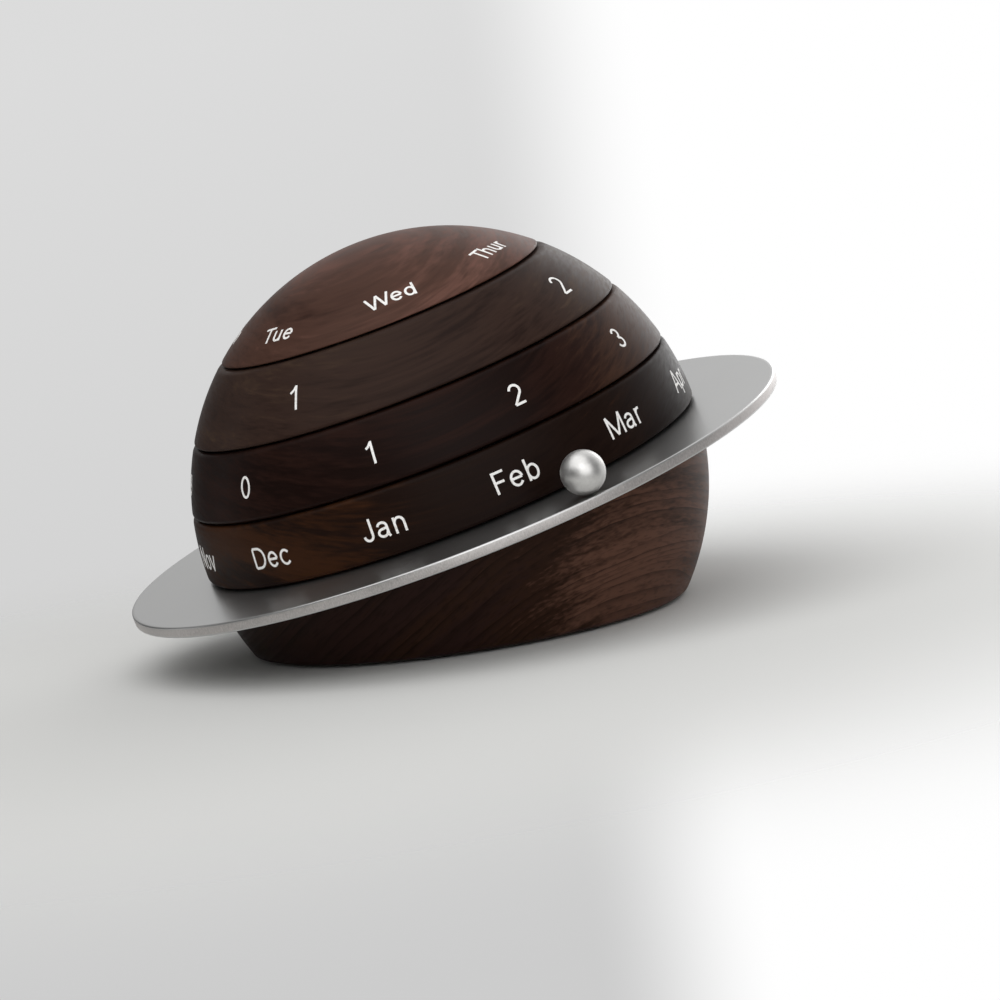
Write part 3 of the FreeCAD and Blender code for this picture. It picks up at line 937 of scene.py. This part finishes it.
# The dials are three rings and a cap, turned from the same ball. Each has a pocket from below
# for its bearing and a lip over it, and its rims are sanded round beside the narrow seams.
bearing_fit = 0.02 * MM
lip_bore = 4.9 * MM
cap_relief = 1.0 * MM
pole_circle = 1.2 * MM
dials = [
    ("month", "month_ring", "month_dial", "month_walnut", 14),
    ("units", "units_ring", "units_dial", "units_walnut", 14),
    ("tens", "tens_ring", "tens_dial", "tens_walnut", 16),
    ("weekday", "weekday_cap", "weekday_dial", "cap_walnut", 40),
]
# The browns are given ring by ring. They grow lighter from the month ring at the bottom up to the cap at
# the top, which is painted light from above on one wood. Each ring also turns paler towards one side,
# which is painted light from that side.
dial_woods_lit_by_height = {
    "month": walnut(
        "oiled_walnut_month",
        hexes=("#160b08", "#1d110c", "#382011"),
        fibres=(0.95, -0.26, 0.19),
        heart=(0, 0.3, -1),
        heart_away=88,
        rings=0.22,
        open_pores=0.12,
        painted_light_side=((-0.026, 0.012, 0), 0.24),
    ),
    "units": walnut(
        "oiled_walnut_units",
        hexes=("#180c09", "#261510", "#3e281d"),
        fibres=(0.96, -0.2, 0.24),
        heart=(0.3, 0.3, -1),
        heart_away=92,
        rings=0.18,
        open_pores=0.12,
        painted_light_side=((0.030, 0.004, 0), 0.22),
    ),
    "tens": walnut(
        "oiled_walnut_tens",
        hexes=("#241814", "#352620", "#48372b"),
        fibres=(0.93, -0.3, 0.2),
        heart=(-0.3, 0.3, -1),
        heart_away=86,
        rings=0.15,
        open_pores=0.12,
        painted_light_side=((-0.030, 0.006, 0), 0.06),
    ),
    "weekday": walnut(
        "oiled_walnut_cap",
        hexes=("#35211a", "#4c342b", "#6c4b41"),
        fibres=(0.912, -0.331, 0.242),
        heart=(0.1, 0.2, -1),
        heart_away=72,
        rings=0.15,
        open_pores=0.12,
        painted_light_side=((0.024, 0.0, 0.012), 0.12),
    ),
}
for dial, node, body, slot, rows in dials:
    low, high = turned_sizes(node)[:2]
    bearing_high, bearing_radius = turned_sizes(f"{dial}_outer_race")[1:]
    pocket = bearing_radius + bearing_fit
    closed = dial == "weekday"
    wall_top = math.sqrt(ball_radius ** 2 - pole_circle ** 2) if closed else high
    piece = lathe_circle(f"{dial}_dial_wood", low, on_ball(low))
    extrude_along(dial_axis, wall_top - low)
    share = on_ball(wall_top) / on_ball(low)
    wall_centre = ball_centre + dial_axis * wall_top
    bpy.ops.transform.resize(value=(share, share, share), center_override=wall_centre)
    round_to_ball(piece, rows, closed_at=wall_top if closed else None)
    pick("EDGE", at_rim(low))
    bpy.ops.mesh.edge_face_add()
    bpy.ops.mesh.inset(thickness=on_ball(low) - pocket)
    extrude_along(dial_axis, bearing_high - low)
    bpy.ops.mesh.inset(thickness=pocket - lip_bore)
    if closed:
        extrude_along(dial_axis, cap_relief)
    else:
        extrude_along(dial_axis, high - bearing_high)
        bpy.ops.mesh.delete(type="FACE")
        pick("EDGE", at_rim(high, on_ball(high)))
        bpy.ops.mesh.edge_face_add()
        bpy.ops.mesh.inset(thickness=on_ball(high) - lip_bore)
        bpy.ops.mesh.delete(type="FACE")
        bpy.ops.mesh.select_all(action="SELECT")
        bpy.ops.mesh.remove_doubles(threshold=HAIR)
        pick("EDGE", at_rim(high, on_ball(high)))
        bpy.ops.mesh.bevel(offset=rim_round, segments=5, affect="EDGES")
    pick("EDGE", at_rim(low, on_ball(low)))
    bpy.ops.mesh.bevel(offset=rim_round, segments=5, affect="EDGES")
    bpy.ops.object.mode_set(mode="OBJECT")
    finish_piece(piece, body, dial_woods_lit_by_height[dial])
    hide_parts(node)

# The weekdays, digits and months are screen-printed on the wood in white ink, as plain upright
# letters drawn in strokes of one width. Each word is drawn flat, laid on the ball and given a
# thin body of ink. The strokes of a letter are drawn ink_step apart, and hug, which presses them
# onto the ball, leaves a few thousandths of a millimetre of it, so that no two share a face.
stroke_width = 0.46 * MM
ink_above = 0.03 * MM
ink_thickness = 0.08 * MM
ink_step = 0.12 * MM
hug = 0.97


def bow(middle_x, middle_y, wide, high, start, end):
    """Points along part of an ellipse, between two angles in degrees."""
    steps = max(4, round(abs(end - start) / 15))
    turns = [math.radians(start + (end - start) * step / steps) for step in range(steps + 1)]
    return [(middle_x + wide * math.cos(turn), middle_y + high * math.sin(turn)) for turn in turns]


def lines(*corners):
    """Straight strokes from corner to corner, each with enough points to follow the ball."""
    strokes = []
    for (start_x, start_y), (end_x, end_y) in zip(corners, corners[1:]):
        steps = max(1, math.ceil(math.hypot(end_x - start_x, end_y - start_y) / 0.1))
        strokes.append(
            [
                (start_x + (end_x - start_x) * step / steps, start_y + (end_y - start_y) * step / steps)
                for step in range(steps + 1)
            ]
        )
    return strokes


# Each letter is its width, and its strokes in a height of 1. Some share a bowl or an arch.
six = [bow(0.32, 0.31, 0.24, 0.25, 0, 360), bow(0.36, 0.50, 0.28, 0.44, 50, 195)]
left_bowl = [bow(0.32, 0.362, 0.24, 0.312, 0, 360)]
right_bowl = [bow(0.36, 0.362, 0.24, 0.312, 0, 360)]
arch = [bow(0.33, 0.42, 0.22, 0.255, 180, 0)] + lines((0.55, 0.42), (0.55, 0.0))
alphabet = {
    "0": (0.77, [bow(0.36, 0.50, 0.25, 0.44, 0, 360)]),
    "1": (0.77, lines((0.44, 0.0), (0.44, 1.0)) + lines((0.44, 0.97), (0.33, 0.81), (0.18, 0.71))),
    "2": (0.77, [bow(0.36, 0.69, 0.24, 0.25, 165, -35)] + lines((0.56, 0.55), (0.11, 0.06), (0.62, 0.06))),
    "3": (0.77, [bow(0.34, 0.73, 0.21, 0.21, 160, -90), bow(0.34, 0.28, 0.25, 0.22, 90, -165)]),
    "4": (0.77, lines((0.48, 0.0), (0.48, 1.0)) + lines((0.48, 0.97), (0.09, 0.29), (0.64, 0.29))),
    "5": (
        0.77,
        lines((0.57, 0.94), (0.21, 0.94), (0.14, 0.47)) + [bow(0.34, 0.33, 0.25, 0.27, 142, -160)],
    ),
    "6": (0.77, six),
    "7": (0.77, lines((0.10, 0.94), (0.61, 0.94), (0.28, 0.0))),
    "8": (0.77, [bow(0.36, 0.73, 0.20, 0.21, 0, 360), bow(0.36, 0.28, 0.25, 0.22, 0, 360)]),
    "9": (0.77, [[(0.72 - x, 1.0 - y) for x, y in stroke] for stroke in six]),
    "A": (0.93, lines((0.03, 0.0), (0.44, 1.0), (0.85, 0.0)) + lines((0.17, 0.33), (0.71, 0.33))),
    "D": (
        1.01,
        lines((0.42, 0.94), (0.13, 0.94), (0.13, 0.06), (0.42, 0.06))
        + [bow(0.42, 0.50, 0.42, 0.44, 90, -90)],
    ),
    "F": (
        0.79,
        lines((0.14, 0.0), (0.14, 1.0))
        + lines((0.14, 0.94), (0.66, 0.94))
        + lines((0.14, 0.5), (0.58, 0.5)),
    ),
    "J": (0.66, lines((0.46, 1.0), (0.46, 0.28)) + [bow(0.26, 0.28, 0.20, 0.22, 0, -180)]),
    "M": (1.16, lines((0.12, 0.0), (0.12, 1.0), (0.55, 0.06), (0.98, 1.0), (0.98, 0.0))),
    "N": (1.01, lines((0.12, 0.0), (0.12, 1.0), (0.80, 0.0), (0.80, 1.0))),
    "O": (1.09, [bow(0.53, 0.50, 0.43, 0.45, 0, 360)]),
    "S": (0.93, [bow(0.44, 0.735, 0.29, 0.205, 15, 250) + bow(0.44, 0.275, 0.32, 0.215, 70, -165)]),
    "T": (0.85, lines((0.43, 0.0), (0.43, 0.94)) + lines((0.03, 0.94), (0.83, 0.94))),
    "W": (1.34, lines((0.03, 1.0), (0.34, 0.0), (0.66, 1.0), (0.98, 0.0), (1.29, 1.0))),
    "a": (
        0.78,
        [bow(0.31, 0.49, 0.21, 0.185, 165, 0), bow(0.29, 0.225, 0.20, 0.165, 95, 360)]
        + lines((0.52, 0.49), (0.52, 0.12), (0.57, 0.0))
        + lines((0.52, 0.42), (0.27, 0.385)),
    ),
    "b": (0.78, lines((0.12, 0.0), (0.12, 1.0)) + right_bowl),
    "c": (0.70, [bow(0.35, 0.362, 0.27, 0.312, 40, 320)]),
    "d": (0.78, lines((0.56, 0.0), (0.56, 1.0)) + left_bowl),
    "e": (0.78, lines((0.09, 0.38), (0.60, 0.38)) + [bow(0.345, 0.362, 0.255, 0.312, 5, 325)]),
    "g": (
        0.78,
        lines((0.56, 0.725), (0.56, -0.08)) + left_bowl + [bow(0.33, -0.05, 0.23, 0.17, 0, -160)],
    ),
    "h": (0.78, lines((0.11, 0.0), (0.11, 1.0)) + arch),
    "i": (0.31, lines((0.15, 0.0), (0.15, 0.725)) + lines((0.15, 0.88), (0.15, 1.0))),
    "l": (0.31, lines((0.15, 0.0), (0.15, 1.0))),
    "n": (0.78, lines((0.11, 0.0), (0.11, 0.725)) + arch),
    "o": (0.78, [bow(0.37, 0.362, 0.28, 0.312, 0, 360)]),
    "p": (0.78, lines((0.12, -0.27), (0.12, 0.725)) + right_bowl),
    "r": (0.47, lines((0.11, 0.0), (0.11, 0.725)) + [bow(0.33, 0.42, 0.22, 0.255, 180, 72)]),
    "t": (
        0.41,
        lines((0.18, 0.92), (0.18, 0.16))
        + [bow(0.30, 0.17, 0.12, 0.12, 180, 280)]
        + lines((0.03, 0.67), (0.35, 0.67)),
    ),
    "u": (
        0.78,
        lines((0.10, 0.725), (0.10, 0.29))
        + [bow(0.32, 0.29, 0.22, 0.24, 180, 360)]
        + lines((0.54, 0.725), (0.54, 0.0)),
    ),
    "v": (0.70, lines((0.03, 0.725), (0.33, 0.0), (0.63, 0.725))),
    "y": (
        0.70,
        lines((0.03, 0.725), (0.34, 0.02))
        + lines((0.63, 0.725), (0.34, 0.0), (0.24, -0.22), (0.06, -0.22)),
    ),
}


def print_label(word, letter_height, height, turn):
    """Draw a word flat in ribbons of ink and move it to its place on the ball."""
    drawing = bpy.data.curves.new(word, "CURVE")
    drawing.dimensions = "3D"
    drawing.extrude = stroke_width / 2
    pen = -sum(alphabet[letter][0] for letter in word) / 2
    for letter in word:
        advance, strokes = alphabet[letter]
        for layer, stroke in enumerate(strokes):
            spline = drawing.splines.new("POLY")
            spline.use_cyclic_u = math.dist(stroke[0], stroke[-1]) < 0.01
            points = stroke[:-1] if spline.use_cyclic_u else stroke
            spline.points.add(len(points) - 1)
            for point, (x, y) in zip(spline.points, points):
                point.co = ((pen + x) * letter_height, (y - 0.5) * letter_height, layer * ink_step, 1)
                point.tilt = math.pi / 2
        pen += advance
    label = bpy.data.objects.new(word, drawing)
    bpy.context.collection.objects.link(label)
    bpy.ops.object.select_all(action="DESELECT")
    bpy.context.view_layer.objects.active = label
    label.select_set(True)
    bpy.ops.object.convert(target="MESH")
    tip = math.pi / 2 - math.asin(height)
    label.matrix_world = (
        Matrix.Translation(ball_centre)
        @ Matrix.Rotation(dial_lean[1], 4, "Y")
        @ Matrix.Rotation(math.radians(turn), 4, "Z")
        @ Matrix.Rotation(tip, 4, "X")
        @ Matrix.Translation((0, 0, ball_radius))
    )
    bpy.ops.object.transform_apply(location=True, rotation=True, scale=True)
    return bpy.context.object


# White ink: a dry, even film that is a little thinner and warmer in small patches.
patch_size = 0.5 * MM
ink, tree = new_material("white_screen_print_ink")
place = add_node(tree, "ShaderNodeTexCoord", {})
thin = add_node(
    tree,
    "ShaderNodeTexNoise",
    {"Vector": place.outputs["Object"], "Scale": 1 / patch_size, "Detail": 3.0},
)
film = add_node(tree, "ShaderNodeValToRGB", {"Fac": thin.outputs["Fac"]})
film.color_ramp.elements[0].position = 0.25
film.color_ramp.elements[0].color = from_hex("#e2ddd6")
film.color_ramp.elements[1].position = 0.50
film.color_ramp.elements[1].color = from_hex("#fbfaf8")
bump = add_node(
    tree, "ShaderNodeBump", {"Strength": 0.3, "Distance": 0.01 * MM, "Height": thin.outputs["Fac"]}
)
coat = add_node(
    tree,
    "ShaderNodeBsdfPrincipled",
    {"Base Color": film.outputs["Color"], "Roughness": 0.6, "Normal": bump.outputs["Normal"]},
)
add_node(tree, "ShaderNodeOutputMaterial", {"Surface": coat.outputs["BSDF"]})
# Each dial has its words, the height of its letters, how high on the ball they stand as a share of
# its radius, where the first stands, in degrees to the right of the front, and the body that they
# turn with.
prints = [
    (
        "weekday",
        ["Mon", "Tue", "Wed", "Thur", "Fri", "Sat", "Sun"],
        3.4 * MM,
        0.838,
        -113.6,
        "weekday_dial",
    ),
    ("tens", ["0", "1", "2", "3"], 4.7 * MM, 0.63, -138.7, "tens_dial"),
    ("units", [str(digit) for digit in range(10)], 4.1 * MM, 0.375, -66.2, "units_dial"),
    (
        "month",
        ["Jan", "Feb", "Mar", "Apr", "May", "Jun", "Jul", "Aug", "Sep", "Oct", "Nov", "Dec"],
        4.05 * MM,
        0.115,
        -32.3,
        "month_dial",
    ),
]
for dial, words, letter_height, height, first_turn, body in prints:
    labels = [
        print_label(word, letter_height, height, first_turn + 360 * place / len(words))
        for place, word in enumerate(words)
    ]
    bpy.ops.object.select_all(action="DESELECT")
    for label in labels:
        label.select_set(True)
    lettering = labels[0]
    bpy.context.view_layer.objects.active = lettering
    bpy.ops.object.join()
    lettering.name = f"{dial}_lettering"
    bpy.context.scene.cursor.location = ball_centre
    bpy.ops.object.origin_set(type="ORIGIN_CURSOR")
    apply_modifier(
        lettering,
        "CAST",
        cast_type="SPHERE",
        factor=hug,
        use_radius_as_size=False,
        size=ball_radius + ink_above,
    )
    apply_modifier(lettering, "SOLIDIFY", thickness=ink_thickness, offset=-1)
    edit(lettering)
    bpy.ops.mesh.select_all(action="SELECT")
    bpy.ops.mesh.normals_make_consistent(inside=False)
    bpy.ops.object.mode_set(mode="OBJECT")
    finish_piece(lettering, body, ink)

# The marker is a loose magnetic ball, ground true and satin plated. It stands on the disc.
marker_low, marker_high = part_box("marker_ball")
marker_radius = (marker_high.z - marker_low.z) / 2
bpy.ops.object.select_all(action="DESELECT")
bpy.ops.mesh.primitive_cube_add(size=marker_radius, location=(marker_low + marker_high) / 2)
marker = bpy.context.object
marker.name = "marker_bead"
edit(marker)
bpy.ops.mesh.select_all(action="SELECT")
bpy.ops.mesh.subdivide(number_cuts=24)
bpy.ops.object.mode_set(mode="OBJECT")
apply_modifier(marker, "CAST", cast_type="SPHERE", factor=1, use_radius_as_size=False, size=marker_radius)
# Satin nickel plate: a soft broad gloss with hardly any grain.
plated = steel("satin_nickel_plate", "#d4d3d1", rough=0.40, grit=0.5 * MM, depth=0.008 * MM)
finish_piece(marker, "marker", plated, smooth_up_to=60)
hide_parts("marker_ball")
